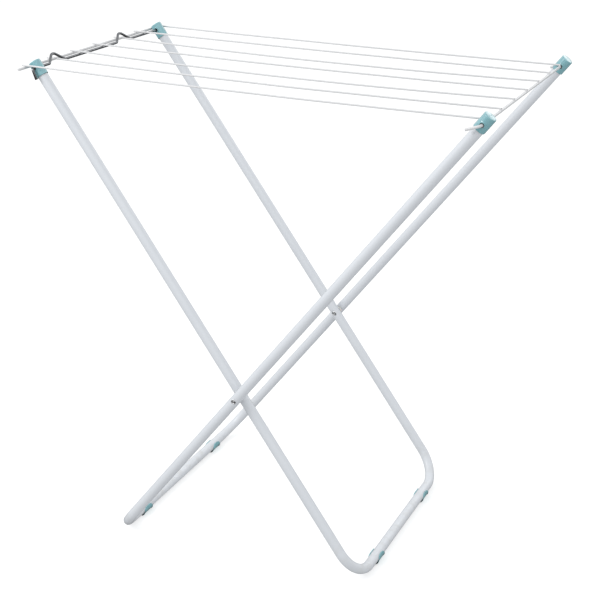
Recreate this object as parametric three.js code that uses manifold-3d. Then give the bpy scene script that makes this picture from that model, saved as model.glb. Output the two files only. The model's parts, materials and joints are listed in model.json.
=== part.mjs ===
// Folding X-frame clothes rack: two pivoted tube frames that carry a hinged grid of drying lines.
// Millimetres, +Z up, X across the two crossed frames, Y along their bottom rails.
import * as THREE from 'three';
import { mergeVertices } from 'three/addons/utils/BufferGeometryUtils.js';
import Module from 'manifold-3d';

// ---- driving dimensions -------------------------------------------------------------------
const TUBE_RADIUS = 9.5; // frame tube
const TUBE_WALL = 1.2;
const BEND_RADIUS = 60; // centre line of the two bends of each frame
const FIT_GAP = 0.3; // clearance between touching pieces

const SPREAD_ANGLE = THREE.MathUtils.degToRad(73.5); // between the open frames
const OUTER_LOWER = 428; // pivot to the axis of the bottom rail
const OUTER_UPPER = 726; // pivot to the end of the cap
const OUTER_HALF_WIDTH = 247.5;
const NEST_GAP = 0.5; // between the two bottom rails when the frames lie flat
const FRAME_GAP = 1; // between the legs of the two frames at their lower ends
const INNER_UPPER = 709.5;
const INNER_TOP_INSET = 10.5; // each inner leg leans in by this much at its top

const CAP_WALL = 1.4;
const CAP_LENGTH = 30;
const CAP_END_WALL = 3;
const CAP_EDGE_RADIUS = 1.8;
const CAP_DOME = 0.7; // rise of the end face at its centre
const CAP_BOSS_RADIUS = 4.8; // raised ring around the cross hole
const CAP_BOSS_HEIGHT = 0.8;
const HINGE_HOLE_DEPTH = 18; // end of an outer cap to its cross hole
const CATCH_HOLE_DEPTH = 13; // end of an inner cap to its cross hole

const RIVET_RADIUS = 3;
const RIVET_BORE = 1.7;
const RIVET_HEAD_RADIUS = 4.8;
const RIVET_HEAD_HEIGHT = 1.6;
const SPACER_RADIUS = 7.5;

const FOOT_LENGTH = 38;
const FOOT_WALL = 2.9;
const FOOT_FLAT = 2.4; // tube surface to the flat sole
const FOOT_WRAP = THREE.MathUtils.degToRad(38); // how far the clip grips above the tube axis
const OUTER_FOOT_SPACING = 300;
const INNER_FOOT_SPACING = 256;

const RAIL_RADIUS = 2.4; // the two cross rails of the grid
const LINE_RADIUS = 1.6;
const LINE_COUNT = 7;
const LINE_STUB = 5.5; // line end past the hook rail
const HOOK_RAIL_OVERHANG = 19.5; // past the outermost line
const HINGE_TAIL_LENGTH = 26;
const HINGE_TAIL_DROP = THREE.MathUtils.degToRad(18); // tails point back under the lines
const HINGE_TAIL_BEND = 4.5;

const CATCH_ROD_RADIUS = 2.5;
const CATCH_TAIL_LENGTH = 20;
const CATCH_TAIL_BEND = 4;
const CATCH_TAIL_TILT = THREE.MathUtils.degToRad(10); // from plumb
const HUMP_HEIGHT = 17.5;
const HUMP_BASE = 50;
const HUMP_TOP = 20;
const HUMP_LINES = [1, 4]; // lines that pass under a hump, counted from the front
const HUMP_BASE_BEND = 6;
const HUMP_TOP_BEND = 10;

const TUBE_SIDES = 16;
const BORE_SIDES = 12;
const WIRE_SIDES = 8;
const BEND_STEPS = 6;
const ROUND_SIDES = 20;

// ---- materials ----------------------------------------------------------------------------
const finish = (color, roughness, metalness) => new THREE.MeshStandardMaterial({ color, roughness, metalness });
const whitePaint = finish(0xe4e4ea, 0.4, 0.1);
const whiteWire = finish(0xf2f2f4, 0.45, 0.1);
const tealPlastic = finish(0x86c6c9, 0.25, 0);
const zincRod = finish(0x8b8d92, 0.3, 1);
const steelRivet = finish(0xb4b6ba, 0.35, 1);
const nylon = finish(0xf4f4f0, 0.5, 0);

// ---- sizes that follow from the fits ----------------------------------------------------------
const CAP_RADIUS = TUBE_RADIUS + FIT_GAP + CAP_WALL;
const INNER_LOWER = OUTER_LOWER - 2 * TUBE_RADIUS - NEST_GAP;
const INNER_HALF_WIDTH = OUTER_HALF_WIDTH - 2 * TUBE_RADIUS - FRAME_GAP; // at the bottom rail

// Half width of the inner frame at a distance above the pivot, negative below it.
const innerSlope = INNER_TOP_INSET / (INNER_UPPER + INNER_LOWER);
const innerHalfWidth = (distance) => INNER_HALF_WIDTH - innerSlope * (distance + INNER_LOWER);
const innerSplay = Math.atan(innerSlope);

// The outermost lines run midway between the inner and the outer caps.
const outermostLine = (innerHalfWidth(INNER_UPPER - CATCH_HOLE_DEPTH) + OUTER_HALF_WIDTH) / 2;
const linePitch = (2 * outermostLine) / (LINE_COUNT - 1);
const lineY = (index) => index * linePitch - outermostLine;

// ---- the open rack, as angles and points of its side view -----------------------------------
// Both bottom rails lie at one height, which sets how far each frame leans.
const innerLean = Math.atan2(
  INNER_LOWER - OUTER_LOWER * Math.cos(SPREAD_ANGLE),
  OUTER_LOWER * Math.sin(SPREAD_ANGLE)
);
const outerLean = SPREAD_ANGLE - innerLean;
const pivotHeight = TUBE_RADIUS + FOOT_FLAT + INNER_LOWER * Math.cos(innerLean);

const alongOuter = (distance) => new THREE.Vector2(Math.sin(outerLean), Math.cos(outerLean)).multiplyScalar(distance);
const alongInner = (distance) => new THREE.Vector2(-Math.sin(innerLean), Math.cos(innerLean)).multiplyScalar(distance);
const hingePoint = alongOuter(OUTER_UPPER - HINGE_HOLE_DEPTH);
const catchPoint = alongInner(INNER_UPPER - CATCH_HOLE_DEPTH);

// The lines lie on the two rails and on the catch rod, which sets the tilt of the grid.
const lineOverRail = RAIL_RADIUS + FIT_GAP + LINE_RADIUS;
const lineOverRod = CATCH_ROD_RADIUS + FIT_GAP + LINE_RADIUS;
const hingeToCatch = catchPoint.clone().sub(hingePoint);
const gridTilt = Math.atan2(hingeToCatch.y, -hingeToCatch.x)
  - Math.asin((lineOverRail - lineOverRod) / hingeToCatch.length());

// The hook rail lies against the outer side of the inner caps, so the frames can't open further.
const outwardOfInner = new THREE.Vector2(-Math.cos(innerLean), -Math.sin(innerLean));
const gridDirection = new THREE.Vector2(-Math.cos(gridTilt), Math.sin(gridTilt));
const hookOffset = CAP_RADIUS + FIT_GAP + RAIL_RADIUS;
const gridLength = (hookOffset - hingePoint.dot(outwardOfInner)) / gridDirection.dot(outwardOfInner);

// ---- solids: joins and cuts -----------------------------------------------------------------
const wasm = await Module();
wasm.setup();

function toSolid(geometry) {
  const bare = geometry.clone();
  bare.deleteAttribute('normal');
  bare.deleteAttribute('uv');
  const merged = mergeVertices(bare, 1e-4);
  return new wasm.Manifold(new wasm.Mesh({
    numProp: 3,
    vertProperties: new Float32Array(merged.attributes.position.array),
    triVerts: new Uint32Array(merged.index.array),
  }));
}

function toGeometry(solid) {
  const mesh = solid.getMesh();
  const geometry = new THREE.BufferGeometry();
  geometry.setAttribute('position', new THREE.BufferAttribute(new Float32Array(mesh.vertProperties), 3));
  geometry.setIndex(new THREE.BufferAttribute(new Uint32Array(mesh.triVerts), 1));
  geometry.computeVertexNormals();
  return geometry;
}

// A round bar along Y, for holes and bosses.
const crossBar = (radius, length, x, y, z, sides = BORE_SIDES) =>
  new THREE.CylinderGeometry(radius, radius, length, sides).translate(x, y, z);

// ---- solids: bars and tubes along a bent path -----------------------------------------------
// A path that steps through its stations, so long straights take one step and bends take many.
class StationPath extends THREE.Curve {
  constructor(stations) {
    super();
    this.stations = stations;
    this.steps = stations.length - 1;
  }

  getPoint(t, target = new THREE.Vector3()) {
    const place = Math.min(Math.max(t, 0), 1) * this.steps;
    const index = Math.min(Math.floor(place), this.steps - 1);
    return target.lerpVectors(this.stations[index], this.stations[index + 1], place - index);
  }

  getUtoTmapping(u) {
    return u;
  }
}

// Joins the corners by straights, with a round bend of its own radius at each inner corner.
function bentPath(corners, radii = [], bendSteps = BEND_STEPS) {
  const stations = [corners[0].clone()];
  for (let i = 1; i < corners.length - 1; i += 1) {
    const radius = radii[i - 1];
    const arriving = corners[i].clone().sub(corners[i - 1]).normalize();
    const leaving = corners[i + 1].clone().sub(corners[i]).normalize();
    const turn = arriving.angleTo(leaving);
    const start = corners[i].clone().addScaledVector(arriving, -radius * Math.tan(turn / 2));
    const inward = leaving.clone().addScaledVector(arriving, -leaving.dot(arriving)).normalize();
    for (let step = 0; step <= bendSteps; step += 1) {
      const angle = (turn * step) / bendSteps;
      stations.push(start.clone()
        .addScaledVector(arriving, radius * Math.sin(angle))
        .addScaledVector(inward, radius * (1 - Math.cos(angle))));
    }
  }
  stations.push(corners[corners.length - 1].clone());
  return new StationPath(stations);
}

function circlePoints(radius, sides) {
  return Array.from({ length: sides }, (_, i) => {
    const angle = (2 * Math.PI * i) / sides;
    return new THREE.Vector2(radius * Math.cos(angle), radius * Math.sin(angle));
  });
}

function barAlong(path, radius, sides = WIRE_SIDES) {
  const section = new THREE.Shape(circlePoints(radius, sides));
  return new THREE.ExtrudeGeometry(section, { steps: path.steps, bevelEnabled: false, extrudePath: path });
}

function tubeAlong(path) {
  const section = new THREE.Shape(circlePoints(TUBE_RADIUS, TUBE_SIDES));
  section.holes.push(new THREE.Path(circlePoints(TUBE_RADIUS - TUBE_WALL, TUBE_SIDES)));
  return new THREE.ExtrudeGeometry(section, { steps: path.steps, bevelEnabled: false, extrudePath: path });
}

// ---- frame tubes ----------------------------------------------------------------------------
// A U bent from one tube, open at both tops, drilled for the rivets and for the wire through the caps.
function frameTube(halfWidthAt, lower, upper, holeDepth, holeRadius) {
  const top = upper - CAP_END_WALL - FIT_GAP;
  const path = bentPath([
    new THREE.Vector3(0, -halfWidthAt(top), top),
    new THREE.Vector3(0, -halfWidthAt(-lower), -lower),
    new THREE.Vector3(0, halfWidthAt(-lower), -lower),
    new THREE.Vector3(0, halfWidthAt(top), top),
  ], [BEND_RADIUS, BEND_RADIUS]);
  const drillLength = 4 * TUBE_RADIUS;
  let tube = toSolid(tubeAlong(path));
  for (const side of [-1, 1]) {
    const rivetHole = crossBar(RIVET_RADIUS + FIT_GAP, drillLength, 0, side * halfWidthAt(0), 0);
    const capHeight = upper - holeDepth;
    const wireHole = crossBar(holeRadius, drillLength, 0, side * halfWidthAt(capHeight), capHeight);
    tube = tube.subtract(toSolid(rivetHole)).subtract(toSolid(wireHole));
  }
  return toGeometry(tube);
}

// ---- end caps -------------------------------------------------------------------------------
// A push-on sleeve, closed at its top by a slightly domed end, with a raised ring at each cross hole.
// The cap is made with its end at z = 0 and its mouth below.
function endCap(holeDepth, holeRadius) {
  const profile = [new THREE.Vector2(0, -CAP_LENGTH), new THREE.Vector2(CAP_RADIUS, -CAP_LENGTH)];
  const roundSteps = 4;
  const flatRadius = CAP_RADIUS - CAP_EDGE_RADIUS;
  for (let i = 0; i <= roundSteps; i += 1) {
    const angle = (Math.PI / 2) * (i / roundSteps);
    profile.push(new THREE.Vector2(
      flatRadius + CAP_EDGE_RADIUS * Math.cos(angle),
      -CAP_DOME - CAP_EDGE_RADIUS * (1 - Math.sin(angle))
    ));
  }
  profile.push(new THREE.Vector2(flatRadius / 2, -CAP_DOME / 4), new THREE.Vector2(0, 0));
  const body = toSolid(new THREE.LatheGeometry(profile, ROUND_SIDES).rotateX(Math.PI / 2));
  const boreRadius = TUBE_RADIUS + FIT_GAP;
  const boreLength = CAP_LENGTH - CAP_END_WALL;
  const bore = new THREE.CylinderGeometry(boreRadius, boreRadius, boreLength + 1, ROUND_SIDES)
    .rotateX(Math.PI / 2)
    .translate(0, 0, -CAP_END_WALL - (boreLength + 1) / 2);
  const bossLength = 2 * (CAP_RADIUS + CAP_BOSS_HEIGHT);
  const boss = crossBar(CAP_BOSS_RADIUS, bossLength, 0, 0, -holeDepth, BORE_SIDES);
  const hole = crossBar(holeRadius, bossLength + 2, 0, 0, -holeDepth, BORE_SIDES);
  return toGeometry(body.add(toSolid(boss)).subtract(toSolid(bore)).subtract(toSolid(hole)));
}

// ---- pivot: one tubular rivet and one spacer on each side -------------------------------------
const outerFace = OUTER_HALF_WIDTH + TUBE_RADIUS + FIT_GAP;
const innerFace = innerHalfWidth(0) - TUBE_RADIUS - FIT_GAP;

function pivotRivet() {
  const rim = RIVET_HEAD_HEIGHT * 0.45;
  const half = [
    [RIVET_BORE, outerFace + RIVET_HEAD_HEIGHT],
    [RIVET_BORE, innerFace - RIVET_HEAD_HEIGHT],
    [RIVET_HEAD_RADIUS * 0.7, innerFace - RIVET_HEAD_HEIGHT],
    [RIVET_HEAD_RADIUS, innerFace - rim],
    [RIVET_HEAD_RADIUS, innerFace],
    [RIVET_RADIUS, innerFace],
    [RIVET_RADIUS, outerFace],
    [RIVET_HEAD_RADIUS, outerFace],
    [RIVET_HEAD_RADIUS, outerFace + rim],
    [RIVET_HEAD_RADIUS * 0.7, outerFace + RIVET_HEAD_HEIGHT],
    [RIVET_BORE, outerFace + RIVET_HEAD_HEIGHT],
  ];
  const profile = half.map(([radius, y]) => new THREE.Vector2(radius, y));
  return new THREE.LatheGeometry(profile, ROUND_SIDES);
}

function pivotSpacer() {
  const bore = RIVET_RADIUS + FIT_GAP;
  const inner = innerHalfWidth(0) + TUBE_RADIUS + FIT_GAP;
  const outer = OUTER_HALF_WIDTH - TUBE_RADIUS - FIT_GAP;
  const corners = [[bore, inner], [SPACER_RADIUS, inner], [SPACER_RADIUS, outer], [bore, outer], [bore, inner]];
  return new THREE.LatheGeometry(corners.map(([radius, y]) => new THREE.Vector2(radius, y)), ROUND_SIDES);
}

// ---- feet -----------------------------------------------------------------------------------
// A snap-on clip that wraps the bottom rail from below and stands on a flat sole.
function footClip() {
  const grip = TUBE_RADIUS + FIT_GAP;
  const outside = grip + FOOT_WALL;
  const sole = TUBE_RADIUS + FOOT_FLAT;
  const soleAngle = Math.acos(sole / outside);
  const section = new THREE.Shape();
  section.moveTo(outside * Math.cos(FOOT_WRAP), outside * Math.sin(FOOT_WRAP));
  section.absarc(0, 0, outside, FOOT_WRAP, soleAngle - Math.PI / 2, true);
  section.absarc(0, 0, outside, -soleAngle - Math.PI / 2, -Math.PI - FOOT_WRAP, true);
  section.absarc(0, 0, grip, -Math.PI - FOOT_WRAP, FOOT_WRAP, false);
  section.closePath();
  const options = { depth: FOOT_LENGTH, steps: 1, bevelEnabled: false, curveSegments: BORE_SIDES };
  return new THREE.ExtrudeGeometry(section, options)
    .translate(0, 0, -FOOT_LENGTH / 2)
    .rotateX(Math.PI / 2);
}

// ---- catch rod ------------------------------------------------------------------------------
// Threaded through the inner caps, under most of the lines and over two of them, so the grid stays on
// it while the frames fold. Its ends are bent down outside the caps.
function catchRod() {
  const height = INNER_UPPER - CATCH_HOLE_DEPTH;
  const tailY = innerHalfWidth(height) + CAP_RADIUS + CAP_BOSS_HEIGHT + FIT_GAP + CATCH_TAIL_BEND;
  const swing = innerLean - CATCH_TAIL_TILT;
  const tailEnd = (y) => new THREE.Vector3(
    -CATCH_TAIL_LENGTH * Math.sin(swing), y, height - CATCH_TAIL_LENGTH * Math.cos(swing)
  );
  const corners = [tailEnd(-tailY), new THREE.Vector3(0, -tailY, height)];
  const radii = [CATCH_TAIL_BEND];
  for (const line of HUMP_LINES) {
    const middle = lineY(line);
    corners.push(
      new THREE.Vector3(0, middle - HUMP_BASE / 2, height),
      new THREE.Vector3(0, middle - HUMP_TOP / 2, height + HUMP_HEIGHT),
      new THREE.Vector3(0, middle + HUMP_TOP / 2, height + HUMP_HEIGHT),
      new THREE.Vector3(0, middle + HUMP_BASE / 2, height)
    );
    radii.push(HUMP_BASE_BEND, HUMP_TOP_BEND, HUMP_TOP_BEND, HUMP_BASE_BEND);
  }
  corners.push(new THREE.Vector3(0, tailY, height), tailEnd(tailY));
  radii.push(CATCH_TAIL_BEND);
  return barAlong(bentPath(corners, radii, 4), CATCH_ROD_RADIUS);
}

// ---- wire grid, in its own frame: the hinge axis is the origin and the lines run along -X ------
function hingeRail() {
  const y = OUTER_HALF_WIDTH + CAP_RADIUS + CAP_BOSS_HEIGHT + FIT_GAP + HINGE_TAIL_BEND;
  const dip = HINGE_TAIL_DROP + gridTilt;
  const tailEnd = (side) => new THREE.Vector3(
    -HINGE_TAIL_LENGTH * Math.cos(dip), side * y, -HINGE_TAIL_LENGTH * Math.sin(dip)
  );
  const corners = [tailEnd(-1), new THREE.Vector3(0, -y, 0), new THREE.Vector3(0, y, 0), tailEnd(1)];
  return barAlong(bentPath(corners, [HINGE_TAIL_BEND, HINGE_TAIL_BEND]), RAIL_RADIUS);
}

function hookRail() {
  const hookEnd = outermostLine + HOOK_RAIL_OVERHANG;
  const ends = [-1, 1].map((side) => new THREE.Vector3(-gridLength, side * hookEnd, 0));
  return barAlong(bentPath(ends), RAIL_RADIUS);
}

function gridLine(index) {
  const y = lineY(index);
  const ends = [RAIL_RADIUS / 2, -gridLength - LINE_STUB].map((x) => new THREE.Vector3(x, y, lineOverRail));
  return barAlong(bentPath(ends), LINE_RADIUS);
}

// ---- assembly -------------------------------------------------------------------------------
function place(parent, name, geometry, material, position = [0, 0, 0], rotation = [0, 0, 0]) {
  const mesh = new THREE.Mesh(geometry, material);
  mesh.name = name;
  mesh.position.set(...position);
  mesh.rotation.set(...rotation);
  parent.add(mesh);
}

const sides = [['front', -1], ['back', 1]];
const wireHoleRadius = CATCH_ROD_RADIUS + FIT_GAP;

const outerFrame = new THREE.Group();
outerFrame.rotation.y = outerLean;
place(outerFrame, 'outer_frame_tube',
  frameTube(() => OUTER_HALF_WIDTH, OUTER_LOWER, OUTER_UPPER, HINGE_HOLE_DEPTH, wireHoleRadius), whitePaint);
for (const [end, side] of sides) {
  const footY = side * OUTER_FOOT_SPACING / 2;
  place(outerFrame, `outer_cap_${end}`, endCap(HINGE_HOLE_DEPTH, wireHoleRadius), tealPlastic,
    [0, side * OUTER_HALF_WIDTH, OUTER_UPPER]);
  place(outerFrame, `outer_foot_${end}`, footClip(), tealPlastic, [0, footY, -OUTER_LOWER], [0, -outerLean, 0]);
  const mirror = side > 0 ? 0 : Math.PI;
  place(outerFrame, `pivot_rivet_${end}`, pivotRivet(), steelRivet, [0, 0, 0], [mirror, 0, 0]);
  place(outerFrame, `pivot_spacer_${end}`, pivotSpacer(), nylon, [0, 0, 0], [mirror, 0, 0]);
}

const innerFrame = new THREE.Group();
innerFrame.rotation.y = -innerLean;
place(innerFrame, 'inner_frame_tube',
  frameTube(innerHalfWidth, INNER_LOWER, INNER_UPPER, CATCH_HOLE_DEPTH, wireHoleRadius), whitePaint);
for (const [end, side] of sides) {
  const footY = side * INNER_FOOT_SPACING / 2;
  place(innerFrame, `inner_cap_${end}`, endCap(CATCH_HOLE_DEPTH, wireHoleRadius), tealPlastic,
    [0, side * innerHalfWidth(INNER_UPPER), INNER_UPPER], [side * innerSplay, 0, 0]);
  place(innerFrame, `inner_foot_${end}`, footClip(), tealPlastic, [0, footY, -INNER_LOWER], [0, innerLean, 0]);
}
place(innerFrame, 'catch_rod', catchRod(), zincRod);

const grid = new THREE.Group();
grid.position.set(hingePoint.x, 0, hingePoint.y);
grid.rotation.y = gridTilt;
place(grid, 'hinge_rail', hingeRail(), whiteWire);
place(grid, 'hook_rail', hookRail(), whiteWire);
for (let index = 0; index < LINE_COUNT; index += 1) {
  place(grid, `drying_line_${index + 1}`, gridLine(index), whiteWire);
}

// The crossed frames stand over the origin, centred under the whole rack.
const rack = new THREE.Group();
rack.add(outerFrame, innerFrame, grid);
rack.position.z = pivotHeight;
rack.updateMatrixWorld(true);
const bounds = new THREE.Box3().setFromObject(rack, true);
rack.position.x = -(bounds.min.x + bounds.max.x) / 2;

export default rack;
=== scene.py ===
"""A folding clothes rack: two pivoted frames with teal caps and feet, and a hinged grid."""
import json
import math

import bmesh
import bpy
import numpy as np
from mathutils import Matrix, Vector


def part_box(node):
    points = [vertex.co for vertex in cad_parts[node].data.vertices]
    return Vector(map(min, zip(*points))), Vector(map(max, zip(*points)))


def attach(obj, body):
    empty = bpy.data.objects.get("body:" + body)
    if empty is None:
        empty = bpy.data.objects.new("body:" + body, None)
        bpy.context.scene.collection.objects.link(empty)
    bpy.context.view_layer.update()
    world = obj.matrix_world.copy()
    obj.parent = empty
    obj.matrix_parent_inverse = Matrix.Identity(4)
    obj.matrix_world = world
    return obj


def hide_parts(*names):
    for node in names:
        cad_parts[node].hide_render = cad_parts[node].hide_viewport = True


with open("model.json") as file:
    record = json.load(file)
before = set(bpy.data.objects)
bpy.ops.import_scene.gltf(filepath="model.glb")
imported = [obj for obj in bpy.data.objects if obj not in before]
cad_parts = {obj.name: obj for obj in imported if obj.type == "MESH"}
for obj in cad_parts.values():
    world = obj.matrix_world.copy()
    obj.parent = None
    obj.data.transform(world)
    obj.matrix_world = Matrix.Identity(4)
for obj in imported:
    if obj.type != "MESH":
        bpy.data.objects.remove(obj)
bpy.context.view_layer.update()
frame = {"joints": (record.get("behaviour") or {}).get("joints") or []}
MM = 0.001

# ---- Frame tubes ---------------------------------------------------------------------------------
# Each frame is one 19 mm steel tube bent to a U and powder coated white. It is drilled at the
# rivets and at the caps, and pressed a little flat where a rivet head bears on it. The caps and
# rivets close every opening, so the bore inside isn't cut.
hinges = {joint["name"]: joint for joint in frame["joints"]}
pivot = Vector(hinges["frame_fold"]["pos_m"])
hinge_axis = Vector(hinges["grid_swing"]["pos_m"])
OUTWARD = Vector((0, 1, 0))

TUBE_RADIUS = 9.5 * MM
TUBE_SIDES = 48
FRAME_BEND = 60 * MM
BEND_STEPS = 28
OUTER_UPPER = 726 * MM
OUTER_HALF_WIDTH = 247.5 * MM
OUTER_HOLE_DEPTH = 18 * MM
INNER_UPPER = 709.5 * MM
INNER_HALF_WIDTH = 227.5 * MM
INNER_HOLE_DEPTH = 13 * MM
INNER_LEAN = 10.5 * MM
CAP_END_WALL = 3.3 * MM
PAD_DEPTH = 0.9 * MM
PAD_RADIUS = 5.6 * MM
PAD_FADE = 1.3
PAD_NEAR = 1.5
PAD_FAR = 2.0
RING_REACH = 12 * MM
RING_STEP = 0.8 * MM
RIVET_HOLE = 3.2 * MM
WIRE_HOLE = 3.9 * MM
DRILL_SIDES = 32


class Leg:
    """Side view of one frame: distances are measured up its legs from the pivot."""

    def __init__(self, rail, upper, half_at_rail, lean_in, hole_depth):
        self.up = (pivot - rail).normalized()
        self.lower = (pivot - rail).length
        self.upper = upper
        self.slope = lean_in / (self.lower + upper)
        self.half_at_rail = half_at_rail
        self.hole = upper - hole_depth

    def half_width(self, distance):
        return self.half_at_rail - self.slope * (distance + self.lower)

    def at(self, distance, y):
        return pivot + self.up * distance + OUTWARD * y

    def side_point(self, distance, side):
        return self.at(distance, side * self.half_width(distance))

    def placed(self, distance, side):
        """Matrix of a piece on a leg: z runs up the leg and y points out of the rack."""
        z = (self.side_point(self.upper, side) - self.side_point(0, side)).normalized()
        x = (OUTWARD * side).cross(z).normalized()
        matrix = Matrix((x, z.cross(x), z)).transposed().to_4x4()
        matrix.translation = self.side_point(distance, side)
        return matrix


def rail_centre(foot_node, tube_node):
    """Middle of the bottom rail of a frame, on the rail's axis."""
    foot_low, foot_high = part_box(foot_node)
    return Vector(((foot_low.x + foot_high.x) / 2, 0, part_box(tube_node)[0].z + TUBE_RADIUS))


outer_rail = rail_centre("outer_foot_front", "outer_frame_tube")
inner_rail = rail_centre("inner_foot_front", "inner_frame_tube")
outer_leg = Leg(outer_rail, OUTER_UPPER, OUTER_HALF_WIDTH, 0, OUTER_HOLE_DEPTH)
inner_leg = Leg(inner_rail, INNER_UPPER, INNER_HALF_WIDTH, INNER_LEAN, INNER_HOLE_DEPTH)
legs = {"outer": outer_leg, "inner": inner_leg}
ENDS = (("front", -1), ("back", 1))


def bent_path(corners, radii, steps):
    """Points along straights that join the corners, with a round bend at each inner corner."""
    points = [corners[0]]
    for before, corner, after, radius in zip(corners, corners[1:], corners[2:], radii):
        arriving = (corner - before).normalized()
        leaving = (after - corner).normalized()
        turn = arriving.angle(leaving)
        start = corner - arriving * radius * math.tan(turn / 2)
        inward = (leaving - arriving * leaving.dot(arriving)).normalized()
        for step in range(steps + 1):
            angle = turn * step / steps
            along, aside = math.sin(angle), 1 - math.cos(angle)
            points.append(start + (arriving * along + inward * aside) * radius)
    return points + [corners[-1]]


def with_rings_near(points, places, reach, step):
    """Adds stations round each place, where the wall is drilled and pressed."""
    finer = [points[0]]
    for start, end in zip(points, points[1:]):
        along = (end - start).normalized()
        length = (end - start).length
        marks = set()
        for place in places:
            middle = (place - start).dot(along)
            if (place - start - along * middle).length < TUBE_RADIUS:
                close = np.arange(middle - reach, middle + reach, step)
                marks.update(mark for mark in close if 0 < mark < length)
        finer += [start + along * mark for mark in sorted(marks)] + [end]
    return finer


class Socket:
    """An output of a node. Python's own operators on it add Math nodes to its tree."""

    def __init__(self, nodes, output):
        self.nodes = nodes
        self.output = output

    def maths(self, operation, *others):
        values = dict(enumerate([self, *others]))
        return self.nodes.add("ShaderNodeMath", {"operation": operation}, values)

    def __add__(self, other):
        return self.maths("ADD", other)

    __radd__ = __add__

    def __mul__(self, other):
        return self.maths("MULTIPLY", other)

    __rmul__ = __mul__

    def __sub__(self, other):
        return self.maths("SUBTRACT", other)

    def __rsub__(self, other):
        return self.nodes.add("ShaderNodeMath", {"operation": "SUBTRACT"}, {0: other, 1: self})

    def __truediv__(self, other):
        return self.maths("DIVIDE", other)

    def __abs__(self):
        return self.maths("ABSOLUTE")

    def smooth(self, low, high):
        """0 below low and 1 above high, with an eased step between them."""
        return self.nodes.add("ShaderNodeMapRange", {"interpolation_type": "SMOOTHSTEP"},
                              {"Value": self, "From Min": low, "From Max": high})


class Nodes:
    """A node tree while it is laid out."""

    def __init__(self, tree):
        self.tree = tree

    def add(self, kind, settings=None, values=None, output=0):
        """A node with its settings, then the values or links of its sockets."""
        node = self.tree.nodes.new(kind)
        for name, value in (settings or {}).items():
            setattr(node, name, value)
        for name, value in (values or {}).items():
            if isinstance(value, Socket):
                self.tree.links.new(value.output, node.inputs[name])
            else:
                node.inputs[name].default_value = value
        return Socket(self, node.outputs[output]) if node.outputs else node

    def parts(self, vector):
        """The three components of a vector."""
        split = self.add("ShaderNodeSeparateXYZ", {}, {0: vector}).output.node
        return [Socket(self, output) for output in split.outputs]


class Maker(Nodes):
    """A Geometry Nodes tree with named inputs. It is run on a path or a set of points."""

    def __init__(self, name, **inputs):
        super().__init__(bpy.data.node_groups.new(name, "GeometryNodeTree"))
        face = self.tree.interface
        face.new_socket("Geometry", in_out="INPUT", socket_type="NodeSocketGeometry")
        face.new_socket("Geometry", in_out="OUTPUT", socket_type="NodeSocketGeometry")
        self.keys = {}
        for key, kind in inputs.items():
            socket = face.new_socket(key, in_out="INPUT", socket_type="NodeSocket" + kind)
            self.keys[key] = socket.identifier
        given = self.tree.nodes.new("NodeGroupInput")
        self.given = {output.name: Socket(self, output) for output in given.outputs if output.name}

    def end(self, geometry):
        """Smooth shading, real geometry and the material come last."""
        smooth = self.add("GeometryNodeSetShadeSmooth", {}, {"Geometry": geometry})
        real = self.add("GeometryNodeRealizeInstances", {}, {"Geometry": smooth})
        painted = self.add("GeometryNodeSetMaterial", {},
                           {"Geometry": real, "Material": self.given["material"]})
        self.add("NodeGroupOutput", {}, {"Geometry": painted})

    def make(self, name, geometry, crease=40, **values):
        """Runs the tree on a mesh and returns the result as a plain object."""
        piece = bpy.data.objects.new(name, geometry)
        bpy.context.scene.collection.objects.link(piece)
        modifier = piece.modifiers.new("make", "NODES")
        modifier.node_group = self.tree
        for key, value in values.items():
            modifier[self.keys[key]] = value
        bpy.context.view_layer.update()
        graph = bpy.context.evaluated_depsgraph_get()
        made = bpy.data.meshes.new_from_object(piece.evaluated_get(graph))
        piece.modifiers.clear()
        piece.data = made
        made.set_sharp_from_angle(angle=math.radians(crease))
        return piece


def wire_mesh(name, points, thickness=None):
    """A path as a mesh of edges; thickness scales the section at each point."""
    mesh = bpy.data.meshes.new(name)
    edges = [(i, i + 1) for i in range(len(points) - 1)]
    mesh.from_pydata([tuple(point) for point in points], edges, [])
    share = mesh.attributes.new("thickness", "FLOAT", "POINT")
    share.data.foreach_set("value", thickness or [1.0] * len(points))
    return mesh


def sweep(maker, radius, sides):
    """A round section along the path that the tree is given."""
    path = maker.add("GeometryNodeMeshToCurve", {}, {"Mesh": maker.given["Geometry"]})
    section = maker.add("GeometryNodeCurvePrimitiveCircle", {},
                        {"Resolution": sides, "Radius": radius})
    share = maker.add("GeometryNodeInputNamedAttribute", {"data_type": "FLOAT"},
                      {"Name": "thickness"})
    return maker.add("GeometryNodeCurveToMesh", {}, {
        "Curve": path, "Profile Curve": section, "Scale": share, "Fill Caps": True})


# The flats for the rivet heads face out of the rack (facing 1) or into it (facing -1).
tube_maker = Maker("bent tube", radius="Float", sides="Int", pivot_x="Float", pivot_z="Float",
                   half_width="Float", facing="Float", pad_radius="Float", pad_depth="Float",
                   drills="Object", material="Material")
outer_wall = sweep(tube_maker, tube_maker.given["radius"], tube_maker.given["sides"])
place = tube_maker.add("GeometryNodeInputPosition")
x, y, z = tube_maker.parts(place)
given = tube_maker.given
off_x, off_z = x - given["pivot_x"], z - given["pivot_z"]
off_axis = (off_x.maths("POWER", 2) + off_z.maths("POWER", 2)).maths("SQRT")
pad_edge = off_axis.smooth(given["pad_radius"], given["pad_radius"] * PAD_FADE)
press = given["pad_depth"] * (1 - pad_edge)
proud = (abs(y) - given["half_width"]) * given["facing"]
near = 1 - off_axis.smooth(given["pad_radius"] * PAD_NEAR, given["pad_radius"] * PAD_FAR)
excess = (proud - (given["radius"] - press)).maths("MAXIMUM", 0.0) * near
pressed_y = y.maths("SIGN") * (abs(y) - excess * given["facing"])
seated = tube_maker.add("ShaderNodeCombineXYZ", {}, {"X": x, "Y": pressed_y, "Z": z})
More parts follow.
